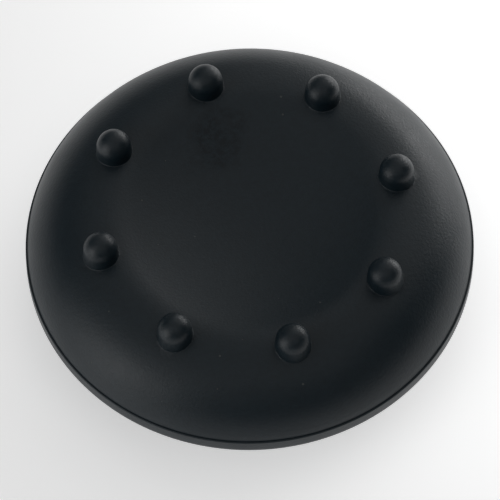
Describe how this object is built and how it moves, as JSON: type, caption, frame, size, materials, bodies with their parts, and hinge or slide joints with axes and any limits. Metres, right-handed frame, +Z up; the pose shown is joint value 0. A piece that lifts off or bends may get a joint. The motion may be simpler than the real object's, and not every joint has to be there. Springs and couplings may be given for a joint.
{
  "type": "controller thumb grip",
  "caption": "Round cap with a dished top, a ring of round bumps, a sloping shoulder and an undercut cavity below, pushed over the head of a game controller's stick for grip.",
  "frame": {"origin": "middle of the foot ring that the cap stands on, in the plane of that ring", "axes": "+Z up along the axis that the cap is turned about, out of the dished top; +X through one of the bumps"},
  "size_m": [0.0226, 0.0226, 0.0078],
  "materials": {
    "silicone": "moulded black silicone, satin with a fine grain"
  },
  "bodies": {
    "root": {"thumb_grip_cap": "silicone"}
  },
  "joints": []
}
